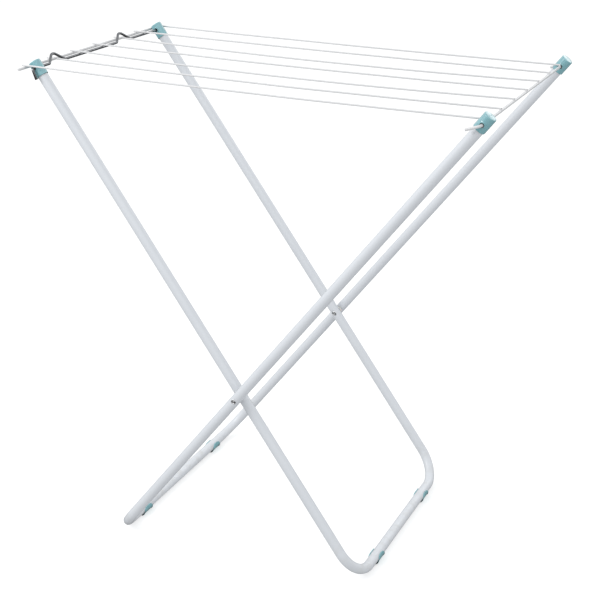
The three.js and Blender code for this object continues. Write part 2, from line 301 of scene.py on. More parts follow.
outer_wall = tube_maker.add("GeometryNodeSetPosition", {},
                            {"Geometry": outer_wall, "Position": seated})
drills = tube_maker.add("GeometryNodeObjectInfo", {"transform_space": "ORIGINAL"},
                        {"Object": given["drills"]}, "Geometry")
drilled = tube_maker.add("GeometryNodeMeshBoolean",
                         {"operation": "DIFFERENCE", "solver": "MANIFOLD"},
                         {"Mesh 1": outer_wall, "Mesh 2": drills}, "Mesh")
tube_maker.end(drilled)


class Finish(Nodes):
    """The node tree of one material, with the piece's own coordinates ready to use."""

    def __init__(self, name):
        self.material = bpy.data.materials.new(name)
        self.material.use_nodes = True
        self.material.node_tree.nodes.clear()
        super().__init__(self.material.node_tree)
        self.here = self.add("ShaderNodeTexCoord", output="Object")

    def speckle(self, scale, detail=2.0, stretch=(1, 1, 1)):
        """Smooth noise of about 1/scale metres, drawn out along an axis by a small stretch."""
        spot = self.add("ShaderNodeMapping", {}, {"Vector": self.here, "Scale": stretch})
        return self.add("ShaderNodeTexNoise", {},
                        {"Vector": spot, "Scale": scale, "Detail": detail})

    def blend(self, share, low, high):
        """A colour between low and high; each is a colour or a socket."""
        return self.add("ShaderNodeMix", {"data_type": "RGBA"}, {0: share, 6: low, 7: high}, 2)

    def bump(self, height, distance, strength):
        """A normal for relief that is distance metres deep."""
        return self.add("ShaderNodeBump", {},
                        {"Height": height, "Distance": distance, "Strength": strength})

    def surface(self, **sockets):
        """The shader itself: keywords are socket names with _ for a space."""
        shader = self.add("ShaderNodeBsdfPrincipled", {},
                          {name.replace("_", " "): value for name, value in sockets.items()})
        self.add("ShaderNodeOutputMaterial", {}, {"Surface": shader})
        return self.material


coat = Finish("white powder coat")
orange_peel = coat.speckle(700, 2.0)
thickness = coat.speckle(14, 3.0)
height_above_floor = coat.parts(coat.here)[2]
dust = (1 - height_above_floor.smooth(0.0, 0.16)) * coat.speckle(60, 4.0).smooth(0.45, 0.75)
coat_colour = coat.blend(thickness, (0.61, 0.632, 0.668, 1), (0.65, 0.670, 0.70, 1))
coat_colour = coat.blend(dust * 0.35, coat_colour, (0.50, 0.49, 0.46, 1))
powder_coat = coat.surface(
    Base_Color=coat_colour,
    Roughness=0.30 + orange_peel * 0.10 + dust * 0.25,
    Normal=coat.bump(orange_peel, 0.03 * MM, 0.6),
    Specular_IOR_Level=0.5,
    Coat_Weight=0.25,
    Coat_Roughness=0.18,
)


def drill_bits(name, leg):
    """Bars along Y, at the rivets and the cap holes, to be taken out of a frame tube."""
    cutter = bmesh.new()
    for _, side in ENDS:
        for distance, radius in ((0, RIVET_HOLE), (leg.hole, WIRE_HOLE)):
            centre = leg.side_point(distance, side)
            crosswise = Matrix.Translation(centre) @ Matrix.Rotation(math.pi / 2, 4, "X")
            bmesh.ops.create_cone(cutter, cap_ends=True, segments=DRILL_SIDES, radius1=radius,
                                  radius2=radius, depth=4 * TUBE_RADIUS, matrix=crosswise)
    mesh = bpy.data.meshes.new(name)
    cutter.to_mesh(mesh)
    cutter.free()
    bits = bpy.data.objects.new(name, mesh)
    bpy.context.scene.collection.objects.link(bits)
    return bits


for kind, facing in (("outer", 1.0), ("inner", -1.0)):
    leg = legs[kind]
    top = leg.upper - CAP_END_WALL
    corners = [leg.side_point(top, -1), leg.side_point(-leg.lower, -1),
               leg.side_point(-leg.lower, 1), leg.side_point(top, 1)]
    path = bent_path(corners, [FRAME_BEND, FRAME_BEND], BEND_STEPS)
    busy = [leg.side_point(distance, side) for distance in (0, leg.hole) for _, side in ENDS]
    path = with_rings_near(path, busy, RING_REACH, RING_STEP)
    bits = drill_bits(kind + "_drill_bits", leg)
    tube = tube_maker.make(
        kind + "_frame_bent_tube", wire_mesh(kind + " path", path), crease=50,
        radius=TUBE_RADIUS, sides=TUBE_SIDES, pivot_x=pivot.x, pivot_z=pivot.z,
        half_width=leg.half_width(0), facing=facing, pad_radius=PAD_RADIUS, pad_depth=PAD_DEPTH,
        drills=bits, material=powder_coat)
    bpy.data.objects.remove(bits)
    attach(tube, kind + "_frame")
    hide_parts(kind + "_frame_tube")

# ---- End caps ------------------------------------------------------------------------------------
# Teal plastic sleeves pushed over the four tube ends. Each is moulded with a softly domed end and
# a raised ring round the cross hole, where a wire of the grid or the catch rod goes through.
CAP_RADIUS = 11.2 * MM
CAP_BORE = 9.8 * MM
CAP_LENGTH = 30 * MM
CAP_ROOF = 3 * MM
EDGE_ROUND = 1.8 * MM
CAP_DOME = 0.7 * MM
CAP_TAPER = 0.05 * MM
CAP_ROUND_STEPS = 8
BOSS_RADIUS = 5.2 * MM
BOSS_RISE = 0.8 * MM
CROSS_HOLE = 3.9 * MM
CAP_COLUMNS = 64
PATCH_CELLS = 12
SPARE_ROWS = 4


def cap_mesh(hole_depth):
    """A closed sleeve with its end at z = 0. Its wall has a patch for the hole on each side."""
    shell = bmesh.new()
    painted_shade = shell.faces.layers.float.new("painted_shade")
    turn = 2 * math.pi / CAP_COLUMNS
    half_patch = PATCH_CELLS / 2 * turn * CAP_RADIUS
    patch_rows = [half_patch * (2 * i / PATCH_CELLS - 1) - hole_depth
                  for i in range(PATCH_CELLS + 1)]
    quarter = CAP_COLUMNS // 4

    def ring(radius, height):
        return [shell.verts.new((radius * math.cos(i * turn), radius * math.sin(i * turn), height))
                for i in range(CAP_COLUMNS)]

    def in_patch(column):
        """Whether a column of faces, counted round the cap, crosses one of the patches."""
        from_middle = (column + 0.5) % (2 * quarter) - quarter
        return abs(from_middle) < PATCH_CELLS / 2

    def join(low, high, leave_patches=False, dark=0.0):
        for i in range(len(low)):
            j = (i + 1) % len(low)
            if not (leave_patches and in_patch(i)):
                shell.faces.new((low[i], low[j], high[j], high[i]))[painted_shade] = dark

    def wall(radius_at, bottom, top):
        """Rings from bottom to top, leaving the two square patches open."""
        heights = [bottom + (patch_rows[0] - bottom) * i / SPARE_ROWS for i in range(SPARE_ROWS)]
        heights += patch_rows
        heights += [patch_rows[-1] + (top - patch_rows[-1]) * (i + 1) / SPARE_ROWS
                    for i in range(SPARE_ROWS)]
        rings = [ring(radius_at(height), height) for height in heights]
        for i, (low, high) in enumerate(zip(rings, rings[1:])):
            join(low, high, leave_patches=SPARE_ROWS <= i < SPARE_ROWS + PATCH_CELLS)
        return rings

    def edge_of_patch(rings, centre):
        """The patch's border vertices, anticlockwise as seen from outside the cap."""
        half = PATCH_CELLS // 2
        low, high = SPARE_ROWS, SPARE_ROWS + PATCH_CELLS
        left, right = centre - half, centre + half
        border = [(low, column) for column in range(left, right)]
        border += [(row, right) for row in range(low, high)]
        border += [(high, column) for column in range(right, left, -1)]
        border += [(row, left) for row in range(high, low, -1)]
        return [rings[row][column % CAP_COLUMNS] for row, column in border]

    def round_patch(border, side, radius, steps):
        """Rings from the square border to the round hole.

        Each step gives the distance from the hole's axis, the share of the boss's rise and
        how much of the square outline is left.
        """
        loops = [border]
        for reach, rise, square_share in steps:
            loop = []
            for i, corner in enumerate(border):
                angle = -0.75 * math.pi + 2 * math.pi * i / len(border)
                out_x = -side * math.cos(angle) * reach
                out_z = math.sin(angle) * reach - hole_depth
                square = Vector((corner.co.x, 0, corner.co.z))
                spot = Vector((out_x, 0, out_z)).lerp(square, square_share)
                skin = math.sqrt(radius ** 2 - spot.x ** 2)
                proud = skin + (CAP_RADIUS + BOSS_RISE - skin) * rise
                loop.append(shell.verts.new((spot.x, side * proud, spot.z)))
            loops.append(loop)
        for low, high in zip(loops, loops[1:]):
            join(low, high)
        return loops[-1]

    outer_top = -CAP_DOME - EDGE_ROUND
    outer = wall(lambda height: CAP_RADIUS - CAP_TAPER * (1 + height / CAP_LENGTH),
                 -CAP_LENGTH + 0.4 * MM, outer_top)
    inner = wall(lambda height: CAP_BORE, -CAP_LENGTH + 2.2 * MM, -CAP_ROOF - 0.6 * MM)
    boss_steps = (
        (BOSS_RADIUS + 1.0 * MM, 0, 0.35), (BOSS_RADIUS + 0.35 * MM, 0, 0),
        (BOSS_RADIUS + 0.1 * MM, 0.12, 0), (BOSS_RADIUS, 0.4, 0), (BOSS_RADIUS, 0.75, 0),
        (BOSS_RADIUS - 0.12 * MM, 0.95, 0), (BOSS_RADIUS - 0.35 * MM, 1, 0),
        (CROSS_HOLE + 0.45 * MM, 1, 0), (CROSS_HOLE + 0.12 * MM, 0.93, 0), (CROSS_HOLE, 0.7, 0))
    hole_steps = ((CROSS_HOLE + 1.0 * MM, 0, 0.3), (CROSS_HOLE, 0, 0))
    for side, centre in ((-1, 3 * quarter), (1, quarter)):
        rim_outside = round_patch(edge_of_patch(outer, centre), side, CAP_RADIUS, boss_steps)
        rim_inside = round_patch(edge_of_patch(inner, centre), side, CAP_BORE, hole_steps)
        # The wall of each cross hole is painted near black as shade.
        join(rim_outside, rim_inside, dark=0.9)

    # The rounded edge, the shallow dome and the small dimple where the mould was filled.
    flat = CAP_RADIUS - CAP_TAPER - EDGE_ROUND
    end_profile = []
    for i in range(1, CAP_ROUND_STEPS + 1):
        angle = math.pi / 2 * i / CAP_ROUND_STEPS
        end_profile.append((flat + EDGE_ROUND * math.cos(angle),
                            outer_top + EDGE_ROUND * math.sin(angle)))
    end_profile += [(0.82 * flat, -0.56 * MM), (0.60 * flat, -0.30 * MM),
                    (0.36 * flat, -0.12 * MM), (0.20 * flat, -0.06 * MM),
                    (0.15 * flat, -0.22 * MM), (0.08 * flat, -0.30 * MM)]
    previous = outer[-1]
    for radius, height in end_profile:
        disc = ring(radius, height)
        join(previous, disc)
        previous = disc
    shell.faces.new(previous)

    lip = [ring(CAP_RADIUS - 0.02 * MM, -CAP_LENGTH + 0.25 * MM),
           ring(CAP_RADIUS - 0.3 * MM, -CAP_LENGTH),
           ring(CAP_BORE + 0.9 * MM, -CAP_LENGTH),
           ring(CAP_BORE + 0.6 * MM, -CAP_LENGTH + 0.5 * MM)]
    # The mouth's edge and the lead-in of the bore are painted darker inwards: a painted shadow line
    # where the cap meets the tube.
    lip_painted_shade = (0, 0.5, 0.9, 1, 1)
    for low, high, dark in zip([outer[0]] + lip, lip + [inner[0]], lip_painted_shade):
        join(low, high, dark=dark)
    roof = ring(CAP_BORE - 0.6 * MM, -CAP_ROOF)
    join(inner[-1], roof)
    shell.faces.new(roof)
    return shell


SEAM = 0.004 * MM


def finished_mesh(shell, name, matrix, material, crease=32):
    """Closes the seams, turns the faces outwards and puts the place into the mesh."""
    bmesh.ops.remove_doubles(shell, verts=shell.verts, dist=SEAM)
    bmesh.ops.recalc_face_normals(shell, faces=shell.faces)
    mesh = bpy.data.meshes.new(name)
    shell.to_mesh(mesh)
    shell.free()
    mesh.transform(matrix)
    mesh.materials.append(material)
    mesh.shade_smooth()
    mesh.set_sharp_from_angle(angle=math.radians(crease))
    piece = bpy.data.objects.new(name, mesh)
    bpy.context.scene.collection.objects.link(piece)
    return piece


teal = Finish("teal moulded plastic")
flow = teal.speckle(55, 3.0, (1, 1, 0.35))
grain = teal.speckle(1500, 1.0)
rubbed = teal.speckle(240, 3.0, (1, 1, 0.2)).smooth(0.62, 0.78)
teal_colour = teal.blend(flow, (0.19, 0.39, 0.43, 1), (0.23, 0.45, 0.49, 1))
teal_colour = teal.blend(rubbed * 0.15, teal_colour, (0.42, 0.64, 0.66, 1))
# Painted shade: faces that lie in a hole, under the cap's lip or at the ends of a foot are painted
# near black, as if in deep shadow.
painted_shade = teal.add("ShaderNodeAttribute", {"attribute_name": "painted_shade"}, output="Fac")
teal_colour = teal.blend(painted_shade, teal_colour, (0.012, 0.022, 0.024, 1))
teal_plastic = teal.surface(
    Base_Color=teal_colour,
    Roughness=0.20 + grain * 0.08 + rubbed * 0.12 + painted_shade * 0.4,
    Normal=teal.bump(grain * 0.4 + rubbed * 0.3, 0.02 * MM, 0.5),
    Subsurface_Weight=0.12,
    Subsurface_Radius=(0.6, 1.0, 1.0),
    Subsurface_Scale=2 * MM,
    Coat_Weight=0.8 - painted_shade * 0.8,
    Coat_Roughness=0.06,
)

for kind in ("outer", "inner"):
    leg = legs[kind]
    for end, side in ENDS:
        cap = finished_mesh(cap_mesh(leg.upper - leg.hole), f"{kind}_end_cap_{end}",
                            leg.placed(leg.upper, side), teal_plastic)
        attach(cap, kind + "_frame")
        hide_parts(f"{kind}_cap_{end}")

# ---- Feet ----------------------------------------------------------------------------------------
# Snap-on clips of the same teal plastic under the two bottom rails. The ears that grip the tube
# are arched, so a foot looks oval from the side, and its sole is flat with shallow grooves.
OUTER_FOOT_SPACING = 300 * MM
INNER_FOOT_SPACING = 256 * MM
FOOT_HALF = 16.5 * MM
FOOT_GRIP = 9.75 * MM
EAR_WALL = 1.35 * MM
EAR_BEAD = 0.55 * MM
END_FLARE = 0.9 * MM
PAINTED_SHADE_FROM = 0.55
FLARE_FROM = 0.86
RIM_FROM = 0.90
BEAD_PLACE = 1.0 * MM
BEAD_SPREAD = 0.9 * MM
GROOVE_DEPTH = 0.4 * MM
GROOVE_EVERY = 4
SOLE = 11.9 * MM
SOLE_EDGE = math.radians(20)
SOLE_BLEND = math.radians(34)
EAR_TOP = math.radians(37)
EAR_END = math.radians(-60)
FOOT_STATIONS = 41
FOOT_ARC = 48


def foot_mesh():
    """A clip round the Y axis: each station is a C section whose ears rise towards the middle."""
    shell = bmesh.new()
    painted_shade = shell.faces.layers.float.new("painted_shade")
    edge_reach = SOLE / math.cos(SOLE_EDGE)
    rings = []
    for station in range(FOOT_STATIONS):
        place = math.sin(math.pi / 2 * (-1 + 2 * station / (FOOT_STATIONS - 1)))
        arch = (1 - abs(place) ** 3.2) ** 0.5
        ear = EAR_END + (EAR_TOP - EAR_END) * arch
        sweep_angle = math.pi + 2 * ear
        flare = END_FLARE * max(0.0, (abs(place) - FLARE_FROM) / (1 - FLARE_FROM)) ** 2
        rim = max(0.0, (abs(place) - RIM_FROM) / (1 - RIM_FROM))
        grooved = abs(place) < 0.8 and station % GROOVE_EVERY == 0
        inner = FOOT_GRIP + flare
        outside, inside = [], []
        for step in range(FOOT_ARC + 1):
            angle = math.pi - ear + sweep_angle * step / FOOT_ARC
            x, z = math.cos(angle), math.sin(angle)
            from_edge = min(step, FOOT_ARC - step) / FOOT_ARC * sweep_angle * FOOT_GRIP
            bead = EAR_BEAD * max(0.0, 1 - abs(from_edge - BEAD_PLACE) / BEAD_SPREAD)
            wall = EAR_WALL + max(bead, EAR_BEAD * 0.8 * rim)
            if from_edge == 0 or rim > 0.99:
                wall *= 0.55
            outer = inner + wall
            from_below = abs(angle - 1.5 * math.pi)
            if from_below < SOLE_EDGE:
                outer = (SOLE - (GROOVE_DEPTH if grooved else 0.0)) / math.cos(from_below)
            elif from_below < SOLE_EDGE + SOLE_BLEND:
                share = math.sin((from_below - SOLE_EDGE) / SOLE_BLEND * math.pi / 2)
                outer = max(outer, edge_reach + (outer - edge_reach) * share)
            outside.append(shell.verts.new((outer * x, place * FOOT_HALF, outer * z)))
            inside.append(shell.verts.new((inner * x, place * FOOT_HALF, inner * z)))
        rings.append(outside + inside[::-1])
    # Painted shade: faces get darker towards each end of the foot, and the end faces are painted
    # near black, as if in deep shadow.
    for station, (low, high) in enumerate(zip(rings, rings[1:])):
        near_end = abs(station + 1 - FOOT_STATIONS / 2) / (FOOT_STATIONS / 2)
        dark = min(1.0, max(0.0, near_end - PAINTED_SHADE_FROM) * 3.0)
        for i in range(len(low)):
            j = (i + 1) % len(low)
            shell.faces.new((low[i], low[j], high[j], high[i]))[painted_shade] = dark
    for ends in (rings[0], rings[-1]):
        for i in range(len(ends) // 2 - 1):
            strip = (ends[i], ends[i + 1], ends[-2 - i], ends[-1 - i])
            shell.faces.new(strip)[painted_shade] = 1.0
    return shell


for kind, rail, spacing in (("outer", outer_rail, OUTER_FOOT_SPACING),
                            ("inner", inner_rail, INNER_FOOT_SPACING)):
    for end, side in ENDS:
        seat = Matrix.Translation(Vector((rail.x, side * spacing / 2, rail.z)))
        foot = finished_mesh(foot_mesh(), f"{kind}_clip_foot_{end}", seat, teal_plastic, crease=45)
        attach(foot, kind + "_frame")
        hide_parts(f"{kind}_foot_{end}")

# ---- Pivots --------------------------------------------------------------------------------------
# A tubular steel rivet goes through both frames at each side. Its ends are rolled over into round
# heads, and a nylon washer between the tubes keeps the paint from rubbing.
RIVET_SHANK = 3.0 * MM
RIVET_BORE = 0.4 * MM
HEAD_RADIUS = 4.9 * MM
HEAD_RISE = 1.6 * MM
GROOVE_OUTSIDE = 3.6 * MM
GROOVE_INSIDE = 2.2 * MM
SEAT_GAP = 0.05 * MM
WASHER_RADIUS = 7.5 * MM
WASHER_BORE = 3.2 * MM
WASHER_GAP = 0.25 * MM
WASHER_EDGE = 0.5 * MM


def turned(profile, sides=48):
    """A ring turned round the Y axis from a closed profile of (radius, y) points."""
    shell = bmesh.new()
    rings = [[shell.verts.new((radius * math.cos(a), y, radius * math.sin(a)))
              for a in (2 * math.pi * i / sides for i in range(sides))] for radius, y in profile]
    for low, high in zip(rings, rings[1:] + rings[:1]):
        for i in range(sides):
            j = (i + 1) % sides
            shell.faces.new((low[i], low[j], high[j], high[i]))
    return shell


plate = Finish("plated steel")
tarnish = plate.speckle(300, 4.0)
turning = plate.speckle(2500, 1.0)
# The groove of the rolled head is darkened a little all round, and painted near black above the
# middle and beside it as dark reflections.
along_x, _, along_z = plate.parts(plate.here)
off_x, off_z = along_x - pivot.x, along_z - pivot.z
off_axis = (off_x.maths("POWER", 2) + off_z.maths("POWER", 2)).maths("SQRT")
painted_reflection_above = (off_z / off_axis).smooth(0.70, 0.95)
painted_reflection_beside = (off_x / off_axis).smooth(0.60, 0.95)
painted_reflection = painted_reflection_above.maths("MAXIMUM", painted_reflection_beside)
past_inside = off_axis.smooth(GROOVE_INSIDE - 0.2 * MM, GROOVE_INSIDE)
past_outside = off_axis.smooth(GROOVE_OUTSIDE, GROOVE_OUTSIDE + 0.25 * MM)
in_groove = past_inside * (1 - past_outside)
plated = plate.blend(tarnish, (0.80, 0.81, 0.82, 1), (0.90, 0.90, 0.91, 1))
plated_steel = plate.surface(
    Base_Color=plate.blend(in_groove * (0.15 + painted_reflection * 0.85), plated, (0.008, 0.008, 0.01, 1)),
    Metallic=1.0,
    Roughness=0.24 + tarnish * 0.15,
    Normal=plate.bump(turning + tarnish, 0.02 * MM, 0.5),
)
washer = Finish("natural nylon")
cloudy = washer.speckle(400, 3.0)
natural_nylon = washer.surface(
    Base_Color=washer.blend(cloudy, (0.72, 0.71, 0.66, 1), (0.80, 0.79, 0.75, 1)),
    Roughness=0.45 + cloudy * 0.1,
    Normal=washer.bump(cloudy, 0.03 * MM, 0.4),
    Subsurface_Weight=0.2,
    Subsurface_Scale=1.5 * MM,
)

outer_seat = outer_leg.half_width(0) + TUBE_RADIUS - PAD_DEPTH
inner_seat = inner_leg.half_width(0) - TUBE_RADIUS + PAD_DEPTH
head = (
    (RIVET_SHANK, 0.0), (HEAD_RADIUS - 0.3 * MM, 0.02 * MM), (HEAD_RADIUS - 0.05 * MM, 0.2 * MM),
    (HEAD_RADIUS, 0.5 * MM), (HEAD_RADIUS - 0.15 * MM, 0.9 * MM),
    (HEAD_RADIUS - 0.45 * MM, 1.3 * MM), (HEAD_RADIUS - 0.75 * MM, HEAD_RISE),
    (HEAD_RADIUS - 0.95 * MM, HEAD_RISE), (GROOVE_OUTSIDE + 0.1 * MM, 1.2 * MM),
    (GROOVE_OUTSIDE, 0.8 * MM), (GROOVE_OUTSIDE - 0.3 * MM, 0.6 * MM),
    (GROOVE_INSIDE + 0.1 * MM, 0.6 * MM), (GROOVE_INSIDE, 0.9 * MM),
    (GROOVE_INSIDE - 0.2 * MM, 1.2 * MM), (GROOVE_INSIDE * 0.5, 1.35 * MM), (RIVET_BORE, 1.3 * MM))
rivet_profile = [(radius, outer_seat + SEAT_GAP + rise) for radius, rise in head]
rivet_profile += [(radius, inner_seat - SEAT_GAP - rise) for radius, rise in reversed(head)]

near = inner_leg.half_width(0) + TUBE_RADIUS + WASHER_GAP
far = outer_leg.half_width(0) - TUBE_RADIUS - WASHER_GAP
washer_profile = [
    (WASHER_BORE, near + 0.2 * MM), (WASHER_BORE + 0.2 * MM, near),
    (WASHER_RADIUS - WASHER_EDGE, near), (WASHER_RADIUS - 0.15 * MM, near + 0.15 * MM),
    (WASHER_RADIUS, near + WASHER_EDGE), (WASHER_RADIUS, far - WASHER_EDGE),
    (WASHER_RADIUS - 0.15 * MM, far - 0.15 * MM), (WASHER_RADIUS - WASHER_EDGE, far),
    (WASHER_BORE + 0.2 * MM, far), (WASHER_BORE, far - 0.2 * MM)]

for end, side in ENDS:
    seat = Matrix.Translation(Vector((pivot.x, 0, pivot.z))) @ Matrix.Scale(side, 4, OUTWARD)
    rivet = finished_mesh(turned(rivet_profile), f"pivot_tubular_rivet_{end}", seat, plated_steel,
                          crease=50)
    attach(rivet, "outer_frame")
    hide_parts(f"pivot_rivet_{end}")

    spacer = finished_mesh(turned(washer_profile), f"pivot_nylon_washer_{end}", seat, natural_nylon,
                           crease=50)
    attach(spacer, "outer_frame")
    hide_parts(f"pivot_spacer_{end}")

# ---- Catch rod -----------------------------------------------------------------------------------
# A bright zinc-plated rod through the inner caps. Most lines lie on it, and two run under its
# humps, so the grid can slide but can't lift off. Its ends are bent down outside the caps.
ROD_RADIUS = 2.5 * MM
ROD_SIDES = 24
TAIL_LENGTH = 20 * MM
TAIL_TILT = math.radians(20)
TAIL_BEND = 4 * MM
HUMP_HEIGHT = 16 * MM
HUMP_BASE = 50 * MM
HUMP_TOP = 9 * MM
HUMP_FOOT_BEND = 6 * MM
HUMP_TOP_BEND = 10 * MM
HUMP_LINES = (1, 4)
CORNER_STEPS = 12
RUNNING_GAP = 0.3 * MM
LINE_COUNT = 7
outermost_line = (inner_leg.half_width(inner_leg.hole) + outer_leg.half_width(0)) / 2
line_pitch = 2 * outermost_line / (LINE_COUNT - 1)
line_places = [index * line_pitch - outermost_line for index in range(LINE_COUNT)]

wire_maker = Maker("swept wire", radius="Float", sides="Int", material="Material")
wire_maker.end(sweep(wire_maker, wire_maker.given["radius"], wire_maker.given["sides"]))


def cut_ends(points, radius):
    """The path with two extra stations at each end, where the cut is slightly rounded."""
    first = (points[1] - points[0]).normalized() * radius
    last = (points[-2] - points[-1]).normalized() * radius
    path = [points[0], points[0] + first * 0.06, points[0] + first * 0.22]
    path += points[1:-1] + [points[-1] + last * 0.22, points[-1] + last * 0.06, points[-1]]
    shares = [0.80, 0.93, 1.0] + [1.0] * (len(points) - 2) + [1.0, 0.93, 0.80]
    return path, shares


zinc = Finish("bright zinc plate")
drawn = zinc.speckle(900, 2.0, (1, 0.04, 1))
bloom = zinc.speckle(45, 4.0)
# The plating's colour is kept dark: a painted dark reflection that stands in for the dim room
# bright zinc would mirror.
zinc_plate = zinc.surface(
    Base_Color=zinc.blend(bloom, (0.13, 0.133, 0.14, 1), (0.22, 0.225, 0.235, 1)),
    Metallic=1.0,
    Roughness=0.14 + drawn * 0.12 + bloom * 0.08,
    Normal=zinc.bump(drawn, 0.02 * MM, 0.6),
    Coat_Weight=0.2,
    Coat_Roughness=0.05,
)

boss_face = CAP_RADIUS + BOSS_RISE + RUNNING_GAP
tail_y = inner_leg.half_width(inner_leg.hole) + boss_face + TAIL_BEND
hang = Vector((math.sin(TAIL_TILT), 0, -math.cos(TAIL_TILT))) * TAIL_LENGTH
corners = [inner_leg.at(inner_leg.hole, -tail_y) + hang, inner_leg.at(inner_leg.hole, -tail_y)]
radii = [TAIL_BEND]
for index in HUMP_LINES:
    for offset, rise in ((-HUMP_BASE / 2, 0), (-HUMP_TOP / 2, HUMP_HEIGHT),
                         (HUMP_TOP / 2, HUMP_HEIGHT), (HUMP_BASE / 2, 0)):
        corners.append(inner_leg.at(inner_leg.hole + rise, line_places[index] + offset))
    radii += [HUMP_FOOT_BEND, HUMP_TOP_BEND, HUMP_TOP_BEND, HUMP_FOOT_BEND]
corners += [inner_leg.at(inner_leg.hole, tail_y), inner_leg.at(inner_leg.hole, tail_y) + hang]
radii.append(TAIL_BEND)
path, shares = cut_ends(bent_path(corners, radii, CORNER_STEPS), ROD_RADIUS)
rod = wire_maker.make("catch_rod_with_humps", wire_mesh("rod path", path, shares),
                      radius=ROD_RADIUS, sides=ROD_SIDES, material=zinc_plate)
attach(rod, "inner_frame")
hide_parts("catch_rod")

# ---- Grid rails ----------------------------------------------------------------------------------
# Two thicker wires carry the lines. The hinge rail turns in the outer caps and ends in turned-back
# tails, and the hook rail rests against the inner caps when the rack stands open.
RAIL_RADIUS = 2.4 * MM
RAIL_SIDES = 20
LINE_RADIUS = 1.6 * MM
LINE_SIDES = 14
LINE_STUB = 5.5 * MM
HOOK_OVERHANG = 19.5 * MM
HINGE_TAIL = 26 * MM
HINGE_TAIL_DROP = math.radians(18)
HINGE_BEND = 4.5 * MM

hook_low, hook_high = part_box("hook_rail")
hook_centre = Vector(((hook_low.x + hook_high.x) / 2, 0, (hook_low.z + hook_high.z) / 2))
grid_span = Vector((hook_centre.x - hinge_axis.x, 0, hook_centre.z - hinge_axis.z))
grid_along = grid_span.normalized()
grid_up = grid_along.cross(OUTWARD)
if grid_up.z < 0:
    grid_up = -grid_up

wire = Finish("white coated wire")
lumps = wire.speckle(160, 3.0)
fine = wire.speckle(1200, 1.0)
wire_height = lumps * 0.7 + fine * 0.15
coated_wire = wire.surface(
    Base_Color=wire.blend(lumps, (0.58, 0.58, 0.59, 1), (0.66, 0.66, 0.665, 1)),
    Roughness=0.34 + fine * 0.12,
    Normal=wire.bump(wire_height, 0.08 * MM, 0.6),
    Coat_Weight=0.2,
    Coat_Roughness=0.2,
)
bare = Finish("cut steel end")
saw = bare.speckle(1800, 2.0, (1, 1, 0.1))
cut_steel = bare.surface(
    Base_Color=bare.blend(saw, (0.05, 0.05, 0.055, 1), (0.13, 0.125, 0.12, 1)),
    Metallic=0.8,
    Roughness=0.45 + saw * 0.2,
    Normal=bare.bump(saw, 0.03 * MM, 0.5),
)


def bare_ends(piece, directions):
    """The flat cut faces at the ends of a wire show the steel under the coating."""
    piece.data.materials.append(cut_steel)
    for polygon in piece.data.polygons:
        faces_out = any(polygon.normal.dot(direction) > 0.9 for direction in directions)
        if len(polygon.vertices) > 4 and faces_out:
            polygon.material_index = 1


rail_y = outer_leg.half_width(0) + boss_face + HINGE_BEND
tail = Vector((-math.cos(HINGE_TAIL_DROP), 0, -math.sin(HINGE_TAIL_DROP)))
front_corner, back_corner = hinge_axis - OUTWARD * rail_y, hinge_axis + OUTWARD * rail_y
corners = [front_corner + tail * HINGE_TAIL, front_corner,
           back_corner, back_corner + tail * HINGE_TAIL]
path, shares = cut_ends(bent_path(corners, [HINGE_BEND, HINGE_BEND], CORNER_STEPS), RAIL_RADIUS)
hinge_rail = wire_maker.make("grid_hinge_rail", wire_mesh("hinge rail path", path, shares),
                             radius=RAIL_RADIUS, sides=RAIL_SIDES, material=coated_wire)
bare_ends(hinge_rail, [tail])
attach(hinge_rail, "line_grid")
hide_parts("hinge_rail")

overhang = OUTWARD * (outermost_line + HOOK_OVERHANG)
path, shares = cut_ends([hook_centre - overhang, hook_centre, hook_centre + overhang], RAIL_RADIUS)
hook_rail = wire_maker.make("grid_hook_rail", wire_mesh("hook rail path", path, shares),
                            radius=RAIL_RADIUS, sides=RAIL_SIDES, material=coated_wire)
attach(hook_rail, "line_grid")
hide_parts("hook_rail")

# ---- Drying lines --------------------------------------------------------------------------------
# Seven thin wires welded across the rails and coated with them. Each one hangs a little slack
# as far as the catch rod, which it rests on, and is never quite straight.
SLACK_MM = (3.0, 3.5, 6.0, 3.0, 5.5, 1.5, 2.0)
WANDER = 5 * MM
LINE_POINTS = 72
ROD_SHARE = 0.96
CUT_SHARE = 0.86

line_maker = Maker("drying line", start="Vector", end="Vector", sag="Float", wander="Float",
                   seed="Float", radius="Float", sides="Int", material="Material")
given = line_maker.given
straight = line_maker.add("GeometryNodeCurvePrimitiveLine", {},
                          {"Start": given["start"], "End": given["end"]})
straight = line_maker.add("GeometryNodeResampleCurve", {},
                          {"Curve": straight, "Count": LINE_POINTS})
share = line_maker.add("GeometryNodeSplineParameter")
to_rod = (share / ROD_SHARE).maths("MINIMUM", 1.0)
belly = to_rod * (1 - to_rod) * 4
drift = line_maker.add("ShaderNodeTexNoise", {"noise_dimensions": "1D"},
                       {"W": share * 3 + given["seed"], "Scale": 1.0, "Detail": 1.0})
aside = (drift - 0.5) * belly * given["wander"]
shift = line_maker.add("ShaderNodeCombineXYZ", {}, {"Y": aside, "Z": 0 - belly * given["sag"]})
hung = line_maker.add("GeometryNodeSetPosition", {}, {"Geometry": straight, "Offset": shift})
section = line_maker.add("GeometryNodeCurvePrimitiveCircle", {},
                         {"Resolution": given["sides"], "Radius": given["radius"]})
from_end = share.maths("MINIMUM", 1 - share) * (grid_span.length / LINE_RADIUS)
cut_edge = CUT_SHARE + from_end.smooth(0.0, 0.4) * (1 - CUT_SHARE)
line_maker.end(line_maker.add("GeometryNodeCurveToMesh", {}, {
    "Curve": hung, "Profile Curve": section, "Scale": cut_edge, "Fill Caps": True}))

